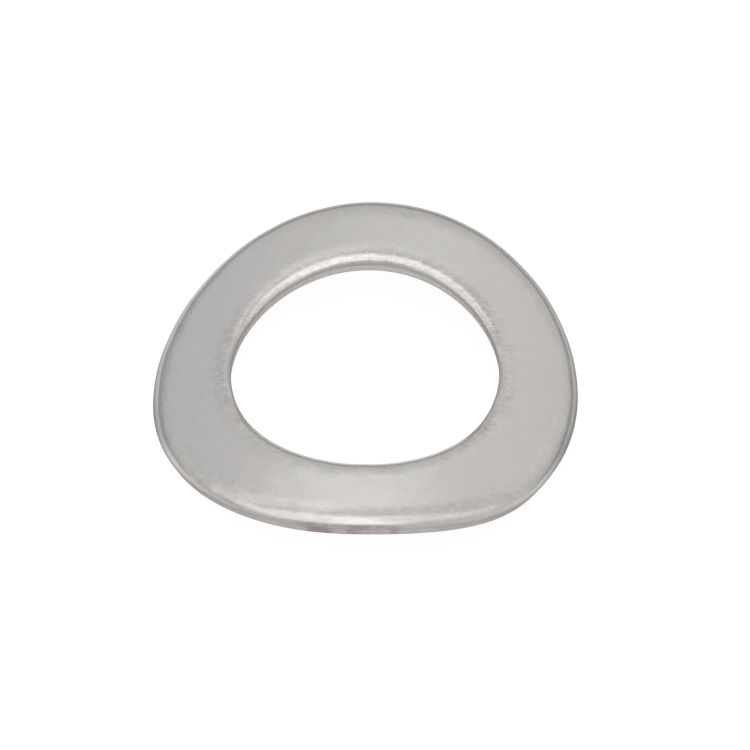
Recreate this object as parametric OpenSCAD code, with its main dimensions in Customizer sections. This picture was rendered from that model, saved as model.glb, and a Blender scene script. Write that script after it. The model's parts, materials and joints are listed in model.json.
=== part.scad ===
// Curved spring washer: a ring punched from sheet and bent round one axis, crest up.
// The crest runs along Y, and the screw's axis is Z. The origin is on the surface that
// the washer lies on, under the middle of the hole.

/* [Ring] */
// Outside diameter of the ring, measured before it is bent
outer_d = 17.6; // [16:0.1:20]
// Diameter of the hole for the screw
hole_d = 10.75; // [9:0.05:12]
// Thickness of the sheet
sheet_t = 0.8; // [0.6:0.05:1.2]

/* [Bend] */
// Radius of the bend, at the middle of the sheet
bend_r = 18.5; // [14:0.1:40]

/* [Edges] */
// Width of the rolled upper edge round the rim, along the sheet
rim_roll_w = 0.66; // [0.2:0.01:0.9]
// Depth of the rolled upper edge round the rim
rim_roll_h = 0.26; // [0.1:0.01:0.4]
// Width of the rolled upper edge round the hole
hole_roll_w = 0.66; // [0.2:0.01:0.9]
// Depth of the rolled upper edge round the hole
hole_roll_h = 0.22; // [0.1:0.01:0.4]
// Radius of the rounding left on the lower edges
under_round = 0.22; // [0.04:0.01:0.25]

/* [Hidden] */

// Pale steel
steel_colour = [0.76, 0.75, 0.73];

// Steps round the ring, in a rolled upper edge and in a lower rounding
ring_steps = 96;
roll_steps = 6;
under_steps = 3;

outer_r = outer_d / 2;
hole_r = hole_d / 2;
upper_r = bend_r + sheet_t / 2;
lower_r = bend_r - sheet_t / 2;

// The lower rounding takes at most half of the wall that the rolled edges leave
under = min(under_round, (sheet_t - max(rim_roll_h, hole_roll_h)) / 2);

// Length of the bent tube that the ring is cut from, past the rim at both ends
tube_l = 2 * outer_d;

// Heights past the crest and past the low sides, to which the cutting forms reach
above = upper_r - bend_r + sheet_t;
below = bent([outer_r, 0, 0])[2] - 2 * sheet_t;

// The washer is lifted until its two low sides stand on the surface
lift = -min([for (p = rounded(under, under_steps))
    bent([outer_r - p[0], 0, p[1] - sheet_t / 2])[2]]);

// A point of the flat ring, carried to its place on the bent one: its third value is its
// height over the middle of the sheet
function bent(p) = let (turn = p[0] / bend_r * 180 / PI) [
    (bend_r + p[2]) * sin(turn),
    p[1],
    (bend_r + p[2]) * cos(turn) - bend_r
];

// Height of a bent face of radius r, at the distance x from the crest in plan
function face_z(r, x) = sqrt(r * r - x * x) - bend_r;

// Edges that turn a wall into a face: each point is [distance from the wall, depth from
// the face]. A rolled edge is a parabola, which leaves the wall at a crease and runs out
// into the face. A rounded one is a quarter circle.
function rolled(w, h, steps) = [for (i = [0:steps]) [w * i / steps, h * pow(1 - i / steps, 2)]];
function rounded(r, steps) = [for (i = [0:steps])
    [r * (1 - cos(90 * i / steps)), r * (1 - sin(90 * i / steps))]];

// An edge with its last chord drawn out to twice its length, so that it crosses the face
// and has no point on it
function past_face(q) = [each [for (i = [0:len(q) - 2]) q[i]], 2 * q[len(q) - 1] - q[len(q) - 2]];

// The same at both ends, so that the first chord crosses the wall as well
function past_both(q) = reversed(past_face(reversed(past_face(q))));

function reversed(list) = [for (i = [len(list) - 1:-1:0]) list[i]];

// One ring of points: its place on the flat ring is at the radius r, h over mid-sheet
function rim_ring(r, h) = [for (a = ring_angles()) bent([r * cos(a), r * sin(a), h])];

// One ring of points round the hole, at the radius r in plan, dz over a bent face
function hole_ring(r, face_r, dz) = [for (a = ring_angles())
    [r * cos(a), r * sin(a), face_z(face_r, r * cos(a)) + dz]];

function ring_angles() = [for (i = [0:ring_steps - 1]) 360 * i / ring_steps];

// A ring laid flat at one height, straight above or below where it was
function flattened(ring, z) = [for (p = ring) [p[0], p[1], z]];

// Closed solid through a stack of rings, listed from the bottom up, with a flat end
// below the first and above the last
module ring_stack(rings) {
    stack = concat([flattened(rings[0], below)], rings,
                   [flattened(rings[len(rings) - 1], above)]);
    n = ring_steps;
    top = len(stack) - 1;
    polyhedron(
        points = [for (ring = stack) each ring],
        faces = [
            [for (i = [0:n - 1]) i],
            for (k = [0:top - 1], i = [0:n - 1]) let (j = (i + 1) % n)
                each [[k * n + i, (k + 1) * n + i, (k + 1) * n + j],
                      [k * n + i, (k + 1) * n + j, k * n + j]],
            [for (i = [n - 1:-1:0]) top * n + i]
        ],
        convexity = 4
    );
}

// The sheet, bent to a tube about an axis along Y
module bent_sheet() {
    translate([0, 0, -bend_r]) rotate([90, 0, 0]) difference() {
        cylinder(r = upper_r, h = tube_l, center = true, $fn = 4 * ring_steps);
        cylinder(r = lower_r, h = 2 * tube_l, center = true, $fn = 4 * ring_steps);
    }
}

// Everything inside the rim, whose wall stands square to the bent sheet
module inside_rim() {
    rounding = past_face(rounded(under, under_steps));
    roll = past_face(rolled(rim_roll_w, rim_roll_h, roll_steps));
    ring_stack(concat(
        [for (p = reversed(rounding)) rim_ring(outer_r - p[0], p[1] - sheet_t / 2)],
        [for (p = roll) rim_ring(outer_r - p[0], sheet_t / 2 - p[1])]
    ));
}

// What the edges of the hole lose, above and below its round wall
module hole_edges() {
    rounding = past_both(rounded(under, under_steps));
    roll = past_both(rolled(hole_roll_w, hole_roll_h, roll_steps));
    ring_stack(concat(
        [for (p = reversed(rounding)) hole_ring(hole_r + p[0], lower_r, p[1])],
        [for (p = roll) hole_ring(hole_r + p[0], upper_r, -p[1])]
    ));
}

// The hole itself, a round bore on the screw's axis
module bore() {
    translate([0, 0, below]) cylinder(r = hole_r, h = above - below, $fn = ring_steps);
}

module washer() {
    color(steel_colour) translate([0, 0, lift]) difference() {
        intersection() {
            bent_sheet();
            inside_rim();
        }
        bore();
        hole_edges();
    }
}

washer();
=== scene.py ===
"""Curved spring washer: a ring punched from steel sheet, bent once and tumbled, on a white table.

The frame gives the washer's place and its outer sizes. The ring is drawn as a section that
runs round the hole, and each of its points is then carried to its place on the bent ring.
"""

import json
import math
from collections import namedtuple

import bpy
from bpy.props import FloatProperty, FloatVectorProperty, IntProperty, PointerProperty
from bpy.types import Operator, Panel, PropertyGroup
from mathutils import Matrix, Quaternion, Vector


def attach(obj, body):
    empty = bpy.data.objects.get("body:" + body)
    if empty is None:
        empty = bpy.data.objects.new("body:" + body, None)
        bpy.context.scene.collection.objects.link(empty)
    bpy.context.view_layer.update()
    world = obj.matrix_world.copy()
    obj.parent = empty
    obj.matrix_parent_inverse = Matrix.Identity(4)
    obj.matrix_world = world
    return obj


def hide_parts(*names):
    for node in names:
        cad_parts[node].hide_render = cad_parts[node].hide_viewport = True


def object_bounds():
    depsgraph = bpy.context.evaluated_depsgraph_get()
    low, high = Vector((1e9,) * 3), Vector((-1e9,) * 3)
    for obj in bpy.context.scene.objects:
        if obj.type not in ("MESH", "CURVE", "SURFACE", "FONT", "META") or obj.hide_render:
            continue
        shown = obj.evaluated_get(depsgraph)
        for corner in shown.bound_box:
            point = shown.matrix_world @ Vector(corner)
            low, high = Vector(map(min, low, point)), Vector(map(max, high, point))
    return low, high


bl_info = {
    "name": "Curved Spring Washer",
    "version": (1, 0, 0),
    "blender": (4, 5, 0),
    "location": "3D View > Sidebar > Washer",
    "description": "Builds a punched, bent and tumbled spring washer on a white table",
    "category": "Object",
}

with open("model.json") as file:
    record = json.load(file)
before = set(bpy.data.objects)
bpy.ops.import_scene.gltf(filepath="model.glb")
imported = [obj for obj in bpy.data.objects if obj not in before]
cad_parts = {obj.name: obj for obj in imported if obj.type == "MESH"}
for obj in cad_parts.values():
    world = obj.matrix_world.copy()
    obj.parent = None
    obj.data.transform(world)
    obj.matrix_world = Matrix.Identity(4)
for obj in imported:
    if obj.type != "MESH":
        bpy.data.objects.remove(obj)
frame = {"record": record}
cad_low, cad_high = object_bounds()

MM = 0.001
NODE = "washer"

# Stretches of the section: upper face, rim roll, rim wall, rim's lower rounding, lower face,
# hole's lower rounding, hole wall, hole roll
STRETCHES = 8

# Points closer than this are one point: the two ends of the section, and of the ring
SEAM = 1e-4 * MM

# Nudges that keep a rounded number from falling to the whole number below it
COLUMN_NUDGE = 1e-3
ROW_NUDGE = 1e-4

# Powers of a rolled edge: its soft fall, its steep fall, and how its rows crowd to the wall
SOFT_POWER, STEEP_POWER, CROWD_POWER = 2.0, 3.0, 0.65

# How narrow the rim's swell and flat are, and the shallow stretches of the hole's roll
BUMP_POWER, EASE_POWER = 24.0, 6.0

# Noise round the ring: the height at which each use reads it, how fine it is, and how far the
# tear's line swings with it
HOLE_NOISE, RIM_NOISE, TEAR_NOISE = 3.0, 9.0, 5.0
WANDER_SCALE = 4.0
TEAR_SCALE, TEAR_DETAIL, TEAR_SWING = 11.0, 4.0, 0.5

# Height over which the tear sets in, and how far in from a wall it reaches
TEAR_FADE, WALL_REACH = 0.04 * MM, 0.3 * MM

# Dents to the metre
DENT_SCALE = 900.0

# Patches of noise on the steel to the millimetre
CAST_SCALE, CLOUD_SCALE, GRAIN_SCALE = 0.9, 1.3, 6.0

# Detail of the dents, the clouds and the grain
FINE_DETAIL = 3.0

# Scratches to the millimetre along X, Y and Z, and the turn of the noise that draws them
SCRATCH_SCALE = (2.2, 9.0, 4.0)
SCRATCH_TURN = 0.5

# Smooth steps that place the steel's finish: where a look sets in, and where it is whole.
# These go by the depth below the crease between wall and rolled edge, in millimetres.
WALL_DEPTH, RIM_SHADE_DEPTH = (-0.12, -0.02), (-0.26, -0.1)
CREASE_TOP, CREASE_FOOT = (-0.06, -0.01), (0.1, 0.03)

# These go by the part of the way along a rolled edge, from the face to the wall
WALL_PART, CREASE_PART, ROLL_PART = (0.6, 0.8), (0.5, 0.8), (0.0, 0.3)
BURNISHED_PART, BAND_PART, PAINTED_LIGHT_PART = (0.2, 0.6), (0.3, 0.6), (0.6, 0.3)
RIM_SHADE_PART, FRONT_HOLE_SHADE_PART, SIDE_HOLE_SHADE_PART = (0.2, 1.0), (0.3, 1.0), (0.0, 0.5)

# These go by the place on the washer, in millimetres: the first along Y, the others along X
BEHIND, RIGHT, LEFT = (-5.5, -2.0), (2.0, 5.0), (-3.5, -6.5)
STAIN_LEFT, STAIN_RIGHT = (-2.4, -1.2), (2.6, 1.4)

# These go by noise round nought
ROSE_NOISE, LEAF_NOISE, STAIN_NOISE = (0.0, 0.2), (0.0, -0.2), (-0.08, 0.08)

# How strongly the painted shade on the left, the painted warm light on the right and the painted shade
# at the hole's sides show
LEFT_AMOUNT, RIGHT_AMOUNT, SIDE_HOLE_SHADE = 0.8, 0.9, 0.8

# Painted shade on the rim's edge: the shares that come near the wall, and over the rolled edge
RIM_SHADE_WALL, RIM_SHADE_ROLL = 0.75, 0.25

# Painted light on the front of the face: the share of its reach that is whole, how far clouds break it
# up, its strength
PAINTED_LIGHT_CORE, PAINTED_LIGHT_CLOUD, PAINTED_LIGHT_AMOUNT = 0.2, 1.2, 0.95

# Stain on the front wall: what its middle adds to the rest, and its blotches to their film
STAIN_MIDDLE, STAIN_REST, STAIN_BLOTCH, STAIN_FILM = 0.7, 0.3, 0.8, 0.2

# Painted shade in the crease: how far grain breaks it up, how strongly it shows, and how much less at
# the rim
CREASE_GRAIN, CREASE_AMOUNT, CREASE_RIM = 1.2, 0.9, 0.4

# Spots: the shares of grain, clouds and scratches, and how much more of them the rolled edges
# have, and the hole's edge behind the front
SPOT_GRAIN, SPOT_CLOUD, SPOT_SCRATCH = 1.4, 0.8, 1.3
SPOT_ROLL, SPOT_BAND = 1.2, 1.6

# Unevenness of the roughness, and strength, depth and scratches of the pits
ROUGH_CLOUD = 0.08
PIT_STRENGTH, PIT_DEPTH, PIT_SCRATCH = 0.4, 0.01 * MM, 0.5

WHITE = (1.0, 1.0, 1.0, 1.0)
CLOTH = (0.8, 0.8, 0.8, 1.0)
TABLE_SIDES = 64
CLIP_START = 10 * MM

# Divisions of the dome, and how sharply its panels end
DOME_RINGS, DOME_SIDES = 45, 180
PANEL_POWER = 4

# Where a lit or dark panel hangs on the dome round the washer, and how wide and high it looks
# from there, in degrees. Azimuth goes round from the front, past the right.
PanelPlace = namedtuple("PanelPlace", "azimuth elevation width height")
PANELS = {
    "overhead": PanelPlace(0, 82, 50, 52),
    "front_middle": PanelPlace(-34, 37, 113, 42),
    "left_softbox": PanelPlace(287, 57, 51, 58),
    "right_softbox": PanelPlace(95, 59, 29, 48),
    "back_flag": PanelPlace(224, 56, 50, 14),
    "back_window": PanelPlace(200, 53, 114, 13),
    "back_low": PanelPlace(186, 11, 210, 18),
    "front_low": PanelPlace(0, 6, 184, 25),
}


def hole_diameter():
    """Diameter of the bore that the record states."""
    hole = next(m for m in frame["record"]["mounts"] if m["name"] == "hole")
    return 2 * hole["dims"]["r_mm"] * MM


def length(name, description, millimetres, high):
    """A length that the user can change."""
    return FloatProperty(
        name=name,
        description=description,
        default=millimetres * MM,
        min=0.0,
        max=high * MM,
        precision=5,
        subtype="DISTANCE",
        unit="LENGTH",
    )


def angle(name, description, degrees):
    """An angle that the user can change."""
    return FloatProperty(
        name=name,
        description=description,
        default=math.radians(degrees),
        subtype="ANGLE",
        unit="ROTATION",
    )


def share(name, description, default, high=1.0):
    """A number from nought up, such as a roughness or a strength."""
    return FloatProperty(
        name=name, description=description, default=default, min=0.0, max=high, precision=3
    )


def count(name, description, default, low, high):
    """A whole number that the user can change."""
    return IntProperty(name=name, description=description, default=default, min=low, max=high)


def colour(name, description, default):
    """A colour in linear light."""
    return FloatVectorProperty(
        name=name,
        description=description,
        default=default,
        min=0.0,
        max=1.0,
        size=3,
        subtype="COLOR",
    )


class WasherRingSizes(PropertyGroup):
    """Sizes of the punched ring and of its bend"""

    outer_d: length("Outside Diameter", "Across the ring before it is bent", 2 * cad_high.y / MM, 50)
    swell: length("Rim Swell", "How far the rim bulges on the swollen side", 0.17, 1)
    swell_at: angle("Swell Place", "Turn round the ring to the middle of the swell", -44)
    flat: length("Rim Flat", "How far the rim falls short on its flat side", 0.12, 1)
    flat_at: angle("Flat Place", "Turn round the ring to the middle of the flat", -81)
    hole_d: length("Hole Diameter", "Across the round hole for the screw", hole_diameter() / MM, 40)
    sheet_t: length("Sheet Thickness", "Thickness of the steel sheet", 0.8, 3)
    bend_r: length("Bend Radius", "Radius of the bend, at the middle of the sheet", 18.5, 100)
    rim_roll_w: length("Rim Roll Width", "Width of the rolled upper edge round the rim", 1.15, 2)
    rim_roll_h: length("Rim Roll Depth", "Depth of the rolled upper edge round the rim", 0.28, 2)
    hole_roll_w: length("Hole Roll Width", "Width of the rolled upper edge round the hole", 1.0, 2)
    hole_roll_h: length("Hole Roll Depth", "Depth of the rolled upper edge round the hole", 0.27, 2)
    soft_share: share("Soft Share", "Share of the depth that the roll falls over all its width", 0.43)
    steep_share: share("Steep Share", "Share of the width that falls steeply to the wall", 0.5)
    under_round: length("Lower Rounding", "Radius left on the lower edges", 0.22, 1)
    side_ease: share("Side Ease", "How much shallower the hole's roll is at the low sides", 0.7)
    wander: share("Roll Wander", "How much the rolled edges vary round the ring", 0.12)
    tear_depth: length("Tear Depth", "Depth of the line below which the punched wall is torn", 0.34, 2)
    tear_step: length("Tear Step", "How far the torn wall is set back", 0.02, 1)
    dents: length("Dents", "Height of the soft dents that tumbling leaves", 0.006, 1)
    steps_round: count("Steps Round", "Divisions round the ring", 720, 24, 800)
    steps_along: count("Steps Along", "Divisions of each stretch of the section", 15, 2, 16)


class WasherSteelLooks(PropertyGroup):
    """Finish of the tumbled steel, with light and shade painted on it"""

    steel: colour("Steel", "Colour of the satin face", (0.60, 0.585, 0.565))
    rose: colour("Rose Cast", "Colour of the face in its rosy patches", (0.628, 0.566, 0.562))
    leaf: colour("Leaf Cast", "Colour of the face in its greenish patches", (0.59, 0.585, 0.56))
    right_light_tint: colour("Right Light Tint", "Colour of the face on the right", (0.592, 0.557, 0.54))
    # Painted light: the right side of the face is tinted warmer
    burnished: colour("Burnished Edge", "Colour of the rolled edges", (0.605, 0.586, 0.565))
    # Painted light: a brighter patch on the front of the face, with its middle and reach
    painted_front_light: colour("Painted Front Light", "Colour of the light painted on the front of the face", (0.70, 0.68, 0.655))
    painted_light_at: FloatVectorProperty(
        name="Painted Light Place",
        description="Middle of the patch of painted light",
        default=(-0.2 * MM, -7.4 * MM, 2.4 * MM),
        subtype="TRANSLATION",
        unit="LENGTH",
    )
    painted_light_r: length("Painted Light Radius", "How far the patch of painted light reaches", 5.0, 20)
    # Painted shade: the left side of the face is cooler and darker
    shaded_left: colour("Shaded Left Side", "Colour of the face on the left", (0.562, 0.568, 0.573))
    # Painted shade on the rim's edge at its sides and back, bluer on the left
    rim_shade: colour("Rim Shade", "Colour of the rim's edge at its sides and back", (0.27, 0.265, 0.262))
    left_rim_shade: colour("Left Rim Shade", "Colour of the rim's edge on the left", (0.255, 0.262, 0.285))
    # Painted shade on the hole's edge, in front and at its sides
    hole_shade: colour("Grime", "Colour of the hole's edge, front and sides", (0.52, 0.50, 0.49))
    pierced: colour("Pierced Wall", "Colour of the hole's wall", (0.56, 0.54, 0.53))
    torn: colour("Torn Wall", "Colour of the rim's wall", (0.54, 0.52, 0.515))
    stain: colour("Wall Stain", "Colour of the darker blotches on the wall", (0.37, 0.30, 0.31))
    # Painted shade in the line between wall and rolled edge
    crease: colour("Crease", "Colour in the line between wall and rolled edge", (0.40, 0.385, 0.375))
    graze: colour("Grazing Tint", "Colour of a wall seen at a flat angle", (0.3, 0.3, 0.3))
    cast_amount: share("Cast Amount", "How strongly the face takes on its two casts", 0.9)
    mottle: share("Mottle", "How much the brightness changes from spot to spot", 0.09)
    face_rough: share("Face Roughness", "Roughness of the tumbled face", 0.22)
    roll_rough: share("Roll Roughness", "Roughness of the burnished rolled edges", 0.14)
    wall_rough: share("Wall Roughness", "Roughness of the torn wall", 0.55)


class WasherStageSetup(PropertyGroup):
    """Camera, table and dome of lit panels"""

    azimuth: angle("Camera Azimuth", "Turn of the camera round the washer", 6.48)
    elevation: angle("Camera Elevation", "Height of the camera over the table", 48.2)
    roll: angle("Camera Roll", "Turn of the camera about its line of sight", -0.96)
    distance: length("Camera Distance", "From the camera to the washer's crest", 303.6, 2000)
    lens: FloatProperty(
        name="Lens",
        description="Focal length in millimetres",
        default=364.3,
        min=50.0,
        max=600.0,
    )
    shift_x: FloatProperty(
        name="Shift Across",
        description="Shift of the picture to the right, in picture widths",
        default=0.0135,
        min=-0.1,
        max=0.1,
    )
    shift_y: FloatProperty(
        name="Shift Up",
        description="Shift of the picture upwards, in picture widths",
        default=-0.0133,
        min=-0.1,
        max=0.1,
    )
    table_r: length("Table Radius", "Half the width of the round table", 1500, 10000)
    table_glow: share("Table Glow", "Light of the table itself, where it is seen", 0.92)
    table_tint: colour("Table Tint", "Colour of the table under the shadow", (0.13, 0.13, 0.13))
    dome_r: length("Dome Radius", "From the washer to the dome of lit panels", 600, 5000)
    room_light: share("Room Light", "Glow of the dome between its panels", 0.78, 5.0)
    overhead: share("Overhead Softbox", "Glow of the panel over the washer", 1.65, 5.0)
    front_middle: share("Front Middle Panel", "Glow of the panel behind the camera", 0.35, 5.0)
    left_softbox: share("Left Softbox", "Glow of the panel on the left", 1.24, 5.0)
    right_softbox: share("Right Softbox", "Glow of the panel on the right", 1.05, 5.0)
    back_flag: share("Back Flag", "Glow of the darker panel high behind", 0.85, 5.0)
    back_window: share("Back Window", "Glow of the long panel behind", 1.0, 5.0)
    back_low: share("Back Low Card", "Glow of the dark card low behind", 0.52, 5.0)
    front_low: share("Front Low Panel", "Glow of the panel low in front", 1.6, 5.0)


class Field:
    """A value on its way through a node tree. It is added and multiplied like a number, and
    stands before the number in a sum or a product."""

    def __init__(self, tree, socket):
        self.tree = tree
        self.socket = socket

    def math(self, operation, *others):
        """This value and others through one Math node."""
        node = self.tree.nodes.new("ShaderNodeMath")
        node.operation = operation
        for place, value in enumerate((self, *others)):
            feed(self.tree, value, node.inputs[place])
        return Field(self.tree, node.outputs[0])

    def __add__(self, other):
        return self.math("ADD", other)

    def __sub__(self, other):
        return self.math("SUBTRACT", other)

    def __rsub__(self, other):
        return self.math("MULTIPLY_ADD", -1.0, other)

    def __neg__(self):
        return self.math("MULTIPLY", -1.0)

    def __mul__(self, other):
        return self.math("MULTIPLY", other)

    def __truediv__(self, other):
        return self.math("DIVIDE", other)

    def step(self, low, high):
        """Smooth step of this value, from nought at low to one at high."""
        node = self.tree.nodes.new("ShaderNodeMapRange")
        node.interpolation_type = "SMOOTHSTEP"
        for name, value in (("Value", self), ("From Min", low), ("From Max", high)):
            feed(self.tree, value, node.inputs[name])
        return Field(self.tree, node.outputs["Result"])


def feed(tree, value, socket):
    """Links a field or an output to an input, or writes a plain value there."""
    if isinstance(value, Field):
        tree.links.new(value.socket, socket)
    elif isinstance(value, bpy.types.NodeSocket):
        tree.links.new(value, socket)
    else:
        socket.default_value = value


def node_of(tree, kind, settings, **inputs):
    """Adds a node with its settings. An input's name has _ where the socket's has a space."""
    node = tree.nodes.new(kind)
    for name, value in settings.items():
        setattr(node, name, value)
    for name, value in inputs.items():
        feed(tree, value, node.inputs[name.replace("_", " ")])
    return node


def mixed(tree, kind, amount, first, second):
    """Output of a Mix node for numbers (Float) or colours (Color)."""
    node = tree.nodes.new("ShaderNodeMix")
    node.data_type = {"Float": "FLOAT", "Color": "RGBA"}[kind]
    for name, value in (("Factor_Float", amount), ("A_" + kind, first), ("B_" + kind, second)):
        feed(tree, value, next(s for s in node.inputs if s.identifier == name))
    return next(s for s in node.outputs if s.identifier == "Result_" + kind)


def blend(tree, amount, first, second):
    """Number part of the way from first to second."""
    return Field(tree, mixed(tree, "Float", amount, first, second))


def vector(tree, x, y, z):
    """Output of three numbers joined to a vector."""
    return node_of(tree, "ShaderNodeCombineXYZ", {}, X=x, Y=y, Z=z).outputs["Vector"]


def noise(tree, place, scale, detail=2.0):
    """Soft noise round nought."""
    node = node_of(
        tree,
        "ShaderNodeTexNoise",
        {"noise_dimensions": "3D"},
        Vector=place,
        Scale=scale,
        Detail=detail,
    )
    return Field(tree, node.outputs["Fac"]) - 0.5


def rolled(tree, part, start, end, size):
    """Point of a rolled edge: it leaves the face softly at start, and falls steeply to end."""
    soft, steep = size["soft_share"], size["steep_share"]
    near_end = ((part - 1.0) / steep + 1.0).math("MAXIMUM", 0.0)
    steeply = near_end.math("POWER", STEEP_POWER) * (1.0 - soft)
    fall = part.math("POWER", SOFT_POWER) * soft + steeply
    return [blend(tree, part, start[0], end[0]), blend(tree, fall, start[1], end[1])]


def quarter(tree, part, centre, first_arm, last_arm):
    """Point of a quarter ellipse that starts at first_arm from its centre, and ends at last_arm."""
    turn = part * (math.pi / 2)
    near = turn.math("COSINE")
    far = turn.math("SINE")
    return [c + near * a + far * b for c, a, b in zip(centre, first_arm, last_arm)]


def straight(tree, part, start, end):
    """Point of the straight line from start to end."""
    return [blend(tree, part, s, e) for s, e in zip(start, end)]


def chosen(tree, index, values):
    """Field that is the value whose place in the list is index."""
    node = node_of(tree, "GeometryNodeIndexSwitch", {"data_type": "FLOAT"}, Index=index)
    while len(node.index_switch_items) < len(values):
        node.index_switch_items.new()
    for place, value in enumerate(values):
        feed(tree, value, node.inputs[str(place)])
    return Field(tree, node.outputs["Output"])


def bump(turn, middle):
    """One where the turn round the ring is that of the middle, and nought away from it."""
    return (turn - middle).math("COSINE").math("MAXIMUM", 0.0).math("POWER", BUMP_POWER)


def section(tree, stretch, part, size, rim, hole_roll, rim_roll):
    """Distance from the axis of the hole, and height over the middle of the sheet, of a point of
    the section: part of the way along one of its stretches."""
    hole = size["hole_d"] / 2
    top, bottom = size["sheet_t"] / 2, size["sheet_t"] / -2
    hole_w, hole_h = hole_roll
    rim_w, rim_h = rim_roll
    under = size["under_round"]
    # Rows lie closer together next to the wall
    to_wall, from_wall = (p.math("POWER", CROWD_POWER) for p in (part, 1.0 - part))
    path = [
        straight(tree, part, (hole + hole_w, top), (rim - rim_w, top)),
        rolled(tree, to_wall, (rim - rim_w, top), (rim, top - rim_h), size),
        straight(tree, part, (rim, top - rim_h), (rim, bottom + under)),
        quarter(tree, part, (rim - under, bottom + under), (under, 0.0), (0.0, -under)),
        straight(tree, part, (rim - under, bottom), (hole + under, bottom)),
        quarter(tree, part, (hole + under, bottom + under), (0.0, -under), (-under, 0.0)),
        straight(tree, part, (hole, bottom + under), (hole, top - hole_h)),
        rolled(tree, from_wall, (hole + hole_w, top), (hole, top - hole_h), size),
    ]
    return [chosen(tree, stretch, values) for values in zip(*path)]


def ring_sizes(tree):
    """Gives the tree an input for each size of the ring, and returns them as fields."""
    names = {p.identifier: p for p in ring_properties()}
    for prop in names.values():
        kind = "NodeSocketInt" if prop.type == "INT" else "NodeSocketFloat"
        socket = tree.interface.new_socket(name=prop.name, in_out="INPUT", socket_type=kind)
        socket.default_value = prop.default
        if prop.subtype == "DISTANCE":
            socket.subtype = "DISTANCE"
    tree.interface.new_socket(name="Finish", in_out="INPUT", socket_type="NodeSocketMaterial")
    given = tree.nodes.new("NodeGroupInput")
    fields = {key: Field(tree, given.outputs[prop.name]) for key, prop in names.items()}
    return fields, given.outputs["Finish"]


def ring_properties():
    """The sizes that the user can change, as Blender lists them."""
    return [p for p in WasherRingSizes.bl_rna.properties if p.identifier not in ("rna_type", "name")]


def bent(tree, size, radius, height, across, along, hole_w, rim_w):
    """Place on the bent ring of a point of the flat one. The wall of the hole stays upright, the
    wall of the rim stays square to the sheet, and the faces lie on the bend's two cylinders."""
    bend_r, sheet_t = size["bend_r"], size["sheet_t"]
    turn = across / bend_r
    rim_x = (bend_r + height) * turn.math("SINE")
    rim_z = (bend_r + height) * turn.math("COSINE")
    below = bend_r - sheet_t / 2
    above = bend_r + sheet_t / 2
    low_z = (below * below - across * across).math("SQRT")
    high_z = (above * above - across * across).math("SQRT")
    hole_z = blend(tree, height / sheet_t + 0.5, low_z, high_z)
    outward = radius.step(size["hole_d"] / 2 + hole_w, size["outer_d"] / 2 - rim_w)
    x = blend(tree, outward, across, rim_x)
    z = blend(tree, outward, hole_z, rim_z)
    return vector(tree, x, along, z)


def wandering(tree, cosine, sine, height, amount):
    """Number near one that varies round the ring by at most that amount."""
    return noise(tree, vector(tree, cosine, sine, height), WANDER_SCALE) * amount * 2.0 + 1.0


def onward(tree, kind, mesh, **inputs):
    """The mesh after one more geometry node."""
    return node_of(tree, kind, {}, Geometry=mesh, **inputs).outputs["Geometry"]


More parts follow.
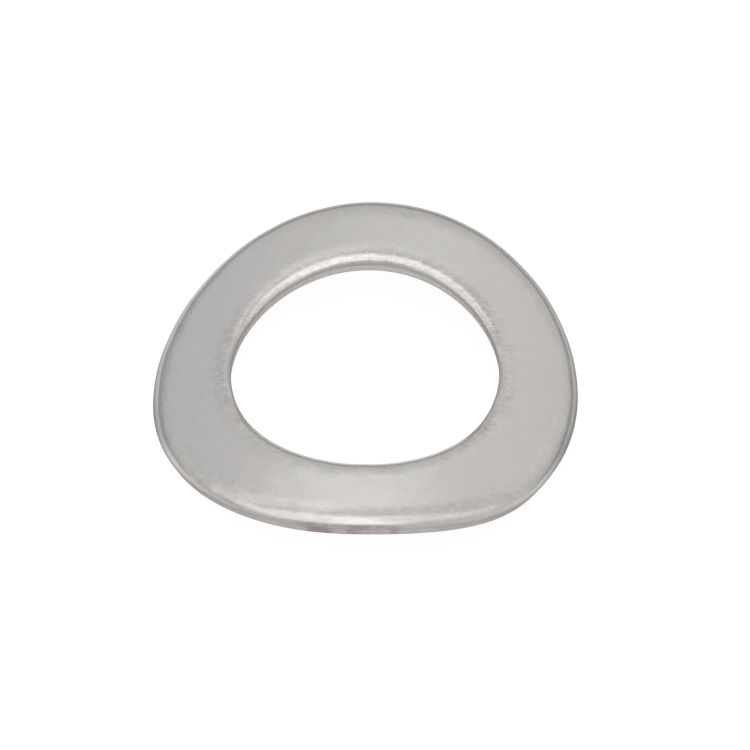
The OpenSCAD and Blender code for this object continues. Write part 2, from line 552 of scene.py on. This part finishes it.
def ring_tree():
    """Node tree that draws the washer: a grid whose rows are carried round the section, and whose
    columns are carried round the ring."""
    tree = bpy.data.node_groups.new("washer_ring", "GeometryNodeTree")
    tree.interface.new_socket(name="Geometry", in_out="OUTPUT", socket_type="NodeSocketGeometry")
    size, finish = ring_sizes(tree)

    column_length = size["steps_along"] * float(STRETCHES) + 1.0
    grid = node_of(
        tree,
        "GeometryNodeMeshGrid",
        {},
        Size_X=1.0,
        Size_Y=1.0,
        Vertices_X=size["steps_round"] + 1.0,
        Vertices_Y=column_length,
    )
    index = Field(tree, tree.nodes.new("GeometryNodeInputIndex").outputs["Index"])
    column = (index / column_length + COLUMN_NUDGE).math("FLOOR")
    row = index - column * column_length
    walked = row / size["steps_along"] + ROW_NUDGE
    whole = walked.math("FLOOR")
    part = (walked - whole - ROW_NUDGE).math("MAXIMUM", 0.0)
    stretch = whole.math("MODULO", float(STRETCHES))

    round_turn = column / size["steps_round"] * (2 * math.pi)
    cosine, sine = round_turn.math("COSINE"), round_turn.math("SINE")
    hole_wander = wandering(tree, cosine, sine, HOLE_NOISE, size["wander"])
    rim_wander = wandering(tree, cosine, sine, RIM_NOISE, size["wander"])
    eased = 1.0 - size["side_ease"] * (cosine * cosine).math("POWER", EASE_POWER)
    hole_roll = (size["hole_roll_w"] * hole_wander, size["hole_roll_h"] * hole_wander * eased)
    rim_roll = (size["rim_roll_w"] * rim_wander, size["rim_roll_h"] * rim_wander)
    swell = size["swell"] * bump(round_turn, size["swell_at"])
    rim = size["outer_d"] / 2 + swell - size["flat"] * bump(round_turn, size["flat_at"])
    radius, height = section(tree, stretch, part, size, rim, hole_roll, rim_roll)

    depth = size["sheet_t"] / 2 - height
    from_hole = radius - size["hole_d"] / 2
    from_rim = rim - radius
    outer_half = (from_hole - from_rim).math("GREATER_THAN", 0.0)
    below_crease = depth - blend(tree, outer_half, hole_roll[1], rim_roll[1])
    left_of_roll = blend(tree, outer_half, from_hole / hole_roll[0], from_rim / rim_roll[0])
    tear = noise(tree, vector(tree, cosine, sine, TEAR_NOISE), TEAR_SCALE, TEAR_DETAIL)
    tear_line = size["tear_depth"] * (tear * TEAR_SWING + 1.0)
    torn_back = depth.step(tear_line, tear_line + TEAR_FADE) * size["tear_step"]
    hole_side = from_hole.step(WALL_REACH, 0.0)
    rim_side = from_rim.step(WALL_REACH, 0.0)
    set_radius = radius + torn_back * hole_side - torn_back * rim_side

    across, along = set_radius * cosine, set_radius * sine
    place = bent(tree, size, set_radius, height, across, along, hole_roll[0], rim_roll[0])

    mesh = grid.outputs["Mesh"]
    carried = {
        "below_crease": below_crease / MM,
        "rolled": (1.0 - left_of_roll).math("MAXIMUM", 0.0),
        "outer_half": outer_half,
    }
    for name, value in carried.items():
        stored = node_of(
            tree,
            "GeometryNodeStoreNamedAttribute",
            {"data_type": "FLOAT", "domain": "POINT"},
            Geometry=mesh,
            Name=name,
            Value=value,
        )
        mesh = stored.outputs["Geometry"]
    mesh = onward(tree, "GeometryNodeSetPosition", mesh, Position=place)
    mesh = onward(tree, "GeometryNodeMergeByDistance", mesh, Distance=SEAM)
    mesh = node_of(tree, "GeometryNodeFlipFaces", {}, Mesh=mesh).outputs["Mesh"]

    here = tree.nodes.new("GeometryNodeInputPosition").outputs["Position"]
    normal = tree.nodes.new("GeometryNodeInputNormal").outputs["Normal"]
    push = node_of(tree, "ShaderNodeVectorMath", {"operation": "SCALE"}, Vector=normal)
    feed(tree, noise(tree, here, DENT_SCALE, FINE_DETAIL) * size["dents"], push.inputs["Scale"])
    mesh = onward(tree, "GeometryNodeSetPosition", mesh, Offset=push.outputs["Vector"])

    low = node_of(tree, "GeometryNodeBoundBox", {}, Geometry=mesh).outputs["Min"]
    lowest = node_of(tree, "ShaderNodeSeparateXYZ", {}, Vector=low).outputs["Z"]
    rise = vector(tree, 0.0, 0.0, -Field(tree, lowest))
    mesh = onward(tree, "GeometryNodeTransform", mesh, Translation=rise)
    mesh = onward(tree, "GeometryNodeSetShadeSmooth", mesh)
    mesh = onward(tree, "GeometryNodeRealizeInstances", mesh)
    mesh = onward(tree, "GeometryNodeSetMaterial", mesh, Material=finish)
    node_of(tree, "NodeGroupOutput", {}, Geometry=mesh)
    return tree


def as_plain_mesh(thing):
    """Turns what an object's node tree makes into its own mesh, and takes the modifier off."""
    graph = bpy.context.evaluated_depsgraph_get()
    mesh = bpy.data.meshes.new_from_object(thing.evaluated_get(graph))
    mesh.name = thing.name
    for place in reversed(range(len(mesh.materials))):
        if mesh.materials[place] is None:
            mesh.materials.pop(index=place)
    thing.modifiers.clear()
    thing.data = mesh


def made_ring(settings, finish):
    """The bent ring, as one plain mesh."""
    tree = ring_tree()
    ring = bpy.data.objects.new("spring_washer", bpy.data.meshes.new("spring_washer"))
    bpy.context.scene.collection.objects.link(ring)
    modifier = ring.modifiers.new("ring", "NODES")
    modifier.node_group = tree
    identifiers = {s.name: s.identifier for s in tree.interface.items_tree if s.in_out == "INPUT"}
    for prop in ring_properties():
        modifier[identifiers[prop.name]] = getattr(settings, prop.identifier)
    modifier[identifiers["Finish"]] = finish
    as_plain_mesh(ring)
    if not ring.data.polygons:
        raise RuntimeError("the washer's node tree made no faces")
    return ring


def opaque(rgb):
    """A colour with full alpha."""
    return (*rgb, 1.0)


def attribute(tree, name):
    """A number that the ring's mesh carries."""
    return Field(tree, node_of(tree, "ShaderNodeAttribute", {"attribute_name": name}).outputs["Fac"])


# What the parts of the steel's finish share
Surface = namedtuple("Surface", "metres place x y below along_roll at_rim cast cloud grain")
Edges = namedtuple("Edges", "wall rolled crease")
Sides = namedtuple("Sides", "behind right left")


def steel_surface(tree):
    """What the finish goes by: the place, the numbers that the mesh carries, and noise."""
    metres = tree.nodes.new("ShaderNodeTexCoord").outputs["Object"]
    scaled = node_of(tree, "ShaderNodeMapping", {}, Vector=metres, Scale=(1 / MM,) * 3)
    place = scaled.outputs["Vector"]
    parts = node_of(tree, "ShaderNodeSeparateXYZ", {}, Vector=place).outputs
    return Surface(
        metres=metres,
        place=place,
        x=Field(tree, parts["X"]),
        y=Field(tree, parts["Y"]),
        below=attribute(tree, "below_crease"),
        along_roll=attribute(tree, "rolled"),
        at_rim=attribute(tree, "outer_half"),
        cast=noise(tree, place, CAST_SCALE),
        cloud=noise(tree, place, CLOUD_SCALE, FINE_DETAIL),
        grain=noise(tree, place, GRAIN_SCALE, FINE_DETAIL),
    )


def steel_edges(surface):
    """Where the walls, the rolled edges and the crease between them are."""
    below, along_roll = surface.below, surface.along_roll
    wall = below.step(*WALL_DEPTH) * along_roll.step(*WALL_PART)
    # Where shade is painted into the crease between wall and rolled edge
    crease = below.step(*CREASE_TOP) * below.step(*CREASE_FOOT) * along_roll.step(*CREASE_PART)
    return Edges(wall, along_roll.step(*ROLL_PART) * (1.0 - wall), crease)


def steel_sides(surface):
    """Where the washer is behind its front, and how far it is on the right and on the left."""
    # How far the painted shade on the left and the painted light on the right reach
    left = surface.x.step(*LEFT) * LEFT_AMOUNT
    return Sides(surface.y.step(*BEHIND), surface.x.step(*RIGHT), left)


def dull_rim(surface, sides):
    """Where shade is painted on the rim's edge: at its sides and back."""
    along_roll = surface.along_roll
    rim_shade = surface.below.step(*RIM_SHADE_DEPTH) * RIM_SHADE_WALL * along_roll.step(*BAND_PART)
    rim_shade = rim_shade + along_roll.step(*RIM_SHADE_PART) * RIM_SHADE_ROLL
    return rim_shade * surface.at_rim * sides.behind


def hole_grime(surface, sides):
    """Where shade is painted on the hole's edge: in front and at its sides."""
    along_roll = surface.along_roll
    low_sides = (sides.right + sides.left) * sides.behind
    hole_shade = along_roll.step(*FRONT_HOLE_SHADE_PART) * (1.0 - sides.behind)
    hole_shade = hole_shade + along_roll.step(*SIDE_HOLE_SHADE_PART) * low_sides * SIDE_HOLE_SHADE
    return hole_shade * (1.0 - surface.at_rim)


def worn_patch(tree, surface, looks):
    """Where light is painted on the front of the face: a brighter patch."""
    reach = node_of(tree, "ShaderNodeVectorMath", {"operation": "DISTANCE"})
    feed(tree, surface.metres, reach.inputs[0])
    reach.inputs[1].default_value = looks.painted_light_at
    painted_front_light = Field(tree, reach.outputs["Value"]).step(looks.painted_light_r, PAINTED_LIGHT_CORE * looks.painted_light_r)
    return painted_front_light * surface.along_roll.step(*PAINTED_LIGHT_PART) * (surface.cloud * PAINTED_LIGHT_CLOUD + PAINTED_LIGHT_AMOUNT)


def front_stain(surface, edges, sides):
    """Where the rim's wall is stained, in front."""
    middle = surface.x.step(*STAIN_LEFT) * surface.x.step(*STAIN_RIGHT)
    stain = (middle * STAIN_MIDDLE + STAIN_REST) * edges.wall * surface.at_rim
    stain = stain * (surface.cloud.step(*STAIN_NOISE) * STAIN_BLOTCH + STAIN_FILM)
    return stain * (1.0 - sides.behind)


def steel_colour(tree, looks, surface, edges, sides):
    """Colour of the steel: each coat lies over the ones before it."""
    # Painted shade on the rim's edge at its sides and back, bluer on the left
    rim_shade = dull_rim(surface, sides)
    rim_shade_colour = mixed(tree, "Color", sides.left, opaque(looks.rim_shade), opaque(looks.left_rim_shade))
    walls = mixed(tree, "Color", surface.at_rim, opaque(looks.pierced), opaque(looks.torn))
    # How strongly the painted shade of the crease shows
    broken = surface.grain * CREASE_GRAIN + CREASE_AMOUNT - surface.at_rim * CREASE_RIM
    coats = (
        (surface.cast.step(*ROSE_NOISE) * looks.cast_amount, opaque(looks.rose)),
        (surface.cast.step(*LEAF_NOISE) * looks.cast_amount, opaque(looks.leaf)),
        # Painted shade on the left side of the face, and painted warm light on the right
        (sides.left, opaque(looks.shaded_left)),
        (sides.right * RIGHT_AMOUNT, opaque(looks.right_light_tint)),
        (surface.along_roll.step(*BURNISHED_PART), opaque(looks.burnished)),
        # Painted light on the front of the face
        (worn_patch(tree, surface, looks), opaque(looks.painted_front_light)),
        # Painted shade on the hole's edge
        (hole_grime(surface, sides), opaque(looks.hole_shade)),
        # Painted shade on the rim's edge
        (rim_shade, rim_shade_colour),
        (edges.wall * (1.0 - rim_shade), walls),
        (front_stain(surface, edges, sides), opaque(looks.stain)),
        # Painted shade in the crease between wall and rolled edge
        (edges.crease * broken, opaque(looks.crease)),
    )
    base = opaque(looks.steel)
    for amount, coat in coats:
        base = mixed(tree, "Color", amount, base, coat)
    return base


def steel_scratches(tree, surface, edges, sides):
    """Scratches on the rolled edges: round the hole, and in front on the rim."""
    turned = node_of(
        tree,
        "ShaderNodeMapping",
        {},
        Vector=surface.place,
        Rotation=(0.0, 0.0, SCRATCH_TURN),
        Scale=SCRATCH_SCALE,
    )
    lines = noise(tree, turned.outputs["Vector"], 1.0)
    return lines * edges.rolled * (1.0 - surface.at_rim * sides.behind)


def steel_spots(looks, surface, edges, sides, scratches):
    """Factor near one by which the brightness changes from spot to spot."""
    band = surface.along_roll.step(*BAND_PART) * (1.0 - surface.at_rim) * sides.behind
    spots = surface.grain * SPOT_GRAIN + surface.cloud * SPOT_CLOUD + scratches * SPOT_SCRATCH
    return spots * looks.mottle * (edges.rolled * SPOT_ROLL + 1.0 + band * SPOT_BAND) + 1.0


def steel_finish(looks):
    """Tumbled steel: satin faces, burnished rolled edges and a torn wall."""
    material = bpy.data.materials.new("tumbled_steel")
    material.use_nodes = True
    tree = material.node_tree
    shader = tree.nodes["Principled BSDF"]

    surface = steel_surface(tree)
    edges, sides = steel_edges(surface), steel_sides(surface)
    scratches = steel_scratches(tree, surface, edges, sides)
    spotted = node_of(
        tree,
        "ShaderNodeVectorMath",
        {"operation": "SCALE"},
        Vector=steel_colour(tree, looks, surface, edges, sides),
        Scale=steel_spots(looks, surface, edges, sides, scratches),
    )
    feed(tree, spotted.outputs["Vector"], shader.inputs["Base Color"])
    grazing = mixed(tree, "Color", edges.wall, WHITE, opaque(looks.graze))
    feed(tree, grazing, shader.inputs["Specular Tint"])

    rough = blend(tree, edges.rolled, looks.face_rough, looks.roll_rough)
    rough = blend(tree, edges.wall, rough, looks.wall_rough)
    feed(tree, rough + surface.cloud * ROUGH_CLOUD, shader.inputs["Roughness"])

    pits = node_of(
        tree,
        "ShaderNodeBump",
        {},
        Strength=PIT_STRENGTH,
        Distance=PIT_DEPTH,
        Height=surface.grain + surface.cloud + scratches * PIT_SCRATCH,
    )
    feed(tree, pits.outputs["Normal"], shader.inputs["Normal"])
    shader.inputs["Metallic"].default_value = 1.0
    return material


def dome_light():
    """Material that glows as brightly as the dome's mesh says."""
    material = bpy.data.materials.new("dome_light")
    material.use_nodes = True
    tree = material.node_tree
    tree.nodes.clear()
    material.cycles.emission_sampling = "NONE"
    light = node_of(tree, "ShaderNodeEmission", {}, Color=WHITE, Strength=attribute(tree, "glow"))
    node_of(tree, "ShaderNodeOutputMaterial", {}, Surface=light.outputs["Emission"])
    return material


def seen(tree):
    """One for rays from the camera, from metal and from glass, and nought for the others."""
    path = tree.nodes.new("ShaderNodeLightPath").outputs
    camera = Field(tree, path["Is Camera Ray"])
    mirrored = camera.math("MAXIMUM", path["Is Glossy Ray"])
    return mirrored.math("MAXIMUM", path["Is Transmission Ray"])


def table_finish(setup):
    """White table: it glows where it is seen, and keeps a faint shadow."""
    material = bpy.data.materials.new("white_table")
    material.use_nodes = True
    tree = material.node_tree
    tree.nodes.clear()
    shown = seen(tree)
    plain = mixed(tree, "Color", shown, CLOTH, opaque(setup.table_tint))
    cloth = node_of(tree, "ShaderNodeBsdfDiffuse", {}, Color=plain)
    light = node_of(
        tree, "ShaderNodeEmission", {}, Color=WHITE, Strength=shown * setup.table_glow
    )
    both = tree.nodes.new("ShaderNodeAddShader")
    feed(tree, cloth.outputs["BSDF"], both.inputs[0])
    feed(tree, light.outputs["Emission"], both.inputs[1])
    node_of(tree, "ShaderNodeOutputMaterial", {}, Surface=both.outputs["Shader"])
    return material


def room():
    """White world, which shows where the table ends."""
    world = bpy.data.worlds.new("room")
    world.use_nodes = True
    tree = world.node_tree
    background = tree.nodes["Background"]
    background.inputs["Color"].default_value = WHITE
    background.inputs["Strength"].default_value = 1.0
    return world


def glow_towards(direction, setup):
    """How brightly the dome glows in a direction: each panel covers what is behind it, and fades
    out softly at its edge."""
    light = setup.room_light
    for name, place in PANELS.items():
        azimuth, elevation = math.radians(place.azimuth), math.radians(place.elevation)
        across = Vector((math.cos(azimuth), math.sin(azimuth), 0.0))
        ahead, up = away(azimuth, elevation), away(azimuth, elevation + math.pi / 2)
        wide = math.degrees(math.atan2(direction.dot(across), direction.dot(ahead)))
        high = math.degrees(math.asin(max(-1.0, min(1.0, direction.dot(up)))))
        off = abs(2 * wide / place.width) ** PANEL_POWER + abs(2 * high / place.height) ** PANEL_POWER
        light += (getattr(setup, name) - light) * math.exp(-off)
    return light


def hung_dome(setup):
    """Half a sphere round the washer that glows, and that the camera does not see."""
    points, faces, glows = [], [], []
    for ring in range(DOME_RINGS + 1):
        for side in range(DOME_SIDES):
            direction = away(2 * math.pi * side / DOME_SIDES, math.pi / 2 * ring / DOME_RINGS)
            points.append(direction * setup.dome_r)
            glows.append(glow_towards(direction, setup))
            if ring < DOME_RINGS:
                here = ring * DOME_SIDES + side
                beside = ring * DOME_SIDES + (side + 1) % DOME_SIDES
                faces.append((here, here + DOME_SIDES, beside + DOME_SIDES, beside))
    mesh = bpy.data.meshes.new("dome")
    mesh.from_pydata(points, [], faces)
    mesh.attributes.new("glow", "FLOAT", "POINT").data.foreach_set("value", glows)
    mesh.materials.append(dome_light())
    dome = bpy.data.objects.new("dome", mesh)
    bpy.context.scene.collection.objects.link(dome)
    dome.visible_camera = False
    dome.visible_shadow = False
    return dome


def away(azimuth, elevation):
    """Unit vector from the washer towards a place at that azimuth and elevation."""
    flat = math.cos(elevation)
    return Vector((math.sin(azimuth) * flat, -math.cos(azimuth) * flat, math.sin(elevation)))


def crest_middle(settings):
    """Middle of the sheet at the crest, over the centre of the hole."""
    return Vector((0.0, 0.0, cad_high.z - settings.sheet_t / 2))


class WASHER_OT_add_ring(Operator):
    """Build the bent ring with its rolled edges, and give it its steel finish"""

    bl_idname = "washer.add_ring"
    bl_label = "Add Ring"

    def execute(self, context):
        finish = steel_finish(context.scene.washer_looks)
        ring = made_ring(context.scene.washer_sizes, finish)
        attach(ring, "root")
        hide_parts(NODE)
        return {"FINISHED"}


class WASHER_OT_add_stage(Operator):
    """Lay the white table and hang the dome of lit panels"""

    bl_idname = "washer.add_stage"
    bl_label = "Add Stage"

    def execute(self, context):
        setup = context.scene.washer_stage
        bpy.ops.mesh.primitive_circle_add(
            vertices=TABLE_SIDES, radius=setup.table_r, fill_type="NGON", location=(0, 0, 0)
        )
        table = context.object
        table.name = "table"
        table.data.materials.append(table_finish(setup))
        hung_dome(setup)
        context.scene.world = room()
        return {"FINISHED"}


class WASHER_OT_add_camera(Operator):
    """Set the camera where the washer is seen from above and in front"""

    bl_idname = "washer.add_camera"
    bl_label = "Add Camera"

    def execute(self, context):
        setup = context.scene.washer_stage
        camera = bpy.data.objects.new("camera", bpy.data.cameras.new("camera"))
        context.scene.collection.objects.link(camera)
        back = away(setup.azimuth, setup.elevation)
        camera.location = crest_middle(context.scene.washer_sizes) + back * setup.distance
        camera.rotation_mode = "QUATERNION"
        turned = Quaternion((0, 0, 1), setup.roll)
        camera.rotation_quaternion = (-back).to_track_quat("-Z", "Y") @ turned
        camera.data.lens = setup.lens
        camera.data.clip_start = CLIP_START
        camera.data.shift_x = setup.shift_x
        camera.data.shift_y = setup.shift_y
        context.scene.camera = camera
        return {"FINISHED"}


class WASHER_PT_build(Panel):
    """Panel with the washer's operators"""

    bl_idname = "WASHER_PT_build"
    bl_label = "Spring Washer"
    bl_space_type = "VIEW_3D"
    bl_region_type = "UI"
    bl_category = "Washer"

    def draw(self, context):
        for operator in OPERATORS:
            self.layout.operator(operator.bl_idname)


OPERATORS = (WASHER_OT_add_camera, WASHER_OT_add_ring, WASHER_OT_add_stage)
CLASSES = (WasherRingSizes, WasherSteelLooks, WasherStageSetup, *OPERATORS, WASHER_PT_build)


def register():
    for kind in CLASSES:
        bpy.utils.register_class(kind)
    bpy.types.Scene.washer_sizes = PointerProperty(type=WasherRingSizes)
    bpy.types.Scene.washer_looks = PointerProperty(type=WasherSteelLooks)
    bpy.types.Scene.washer_stage = PointerProperty(type=WasherStageSetup)


def unregister():
    del bpy.types.Scene.washer_stage
    del bpy.types.Scene.washer_looks
    del bpy.types.Scene.washer_sizes
    for kind in reversed(CLASSES):
        bpy.utils.unregister_class(kind)


def main():
    register()
    bpy.ops.washer.add_camera()
    bpy.ops.washer.add_ring()
    bpy.ops.washer.add_stage()
    bpy.context.scene.view_settings.view_transform = "Standard"


if __name__ == "__main__":
    main()
